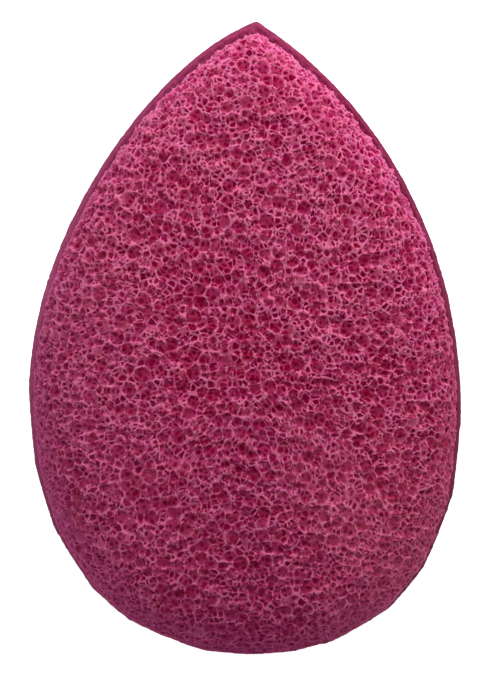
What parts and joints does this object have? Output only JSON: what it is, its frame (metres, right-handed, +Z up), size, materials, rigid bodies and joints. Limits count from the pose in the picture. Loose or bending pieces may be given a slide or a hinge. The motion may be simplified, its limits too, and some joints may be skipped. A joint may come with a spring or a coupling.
{
  "type": "makeup sponge",
  "caption": "Flat teardrop facial sponge: a coarse open-cell foam pad with a crowned face, bonded to a smooth fine-cell foam backing that shows as a narrow rim.",
  "frame": {"origin": "under the middle of the sponge's length and width, on the flat face that it rests on", "axes": "+Y from the round end to the tip, +Z up through the thickness to the textured face, +X to the right with the tip away"},
  "size_m": [0.0612, 0.09, 0.025],
  "materials": {
    "coarse_foam": "open-cell foam, matt, raspberry pink struts over darker crimson cells",
    "fine_foam": "fine-cell foam, velvety, deep magenta",
    "bond_film": "hot-melt adhesive film, satin"
  },
  "bodies": {
    "root": {"smooth_backing": "fine_foam", "bond_film": "bond_film", "textured_pad": "coarse_foam"}
  },
  "joints": []
}
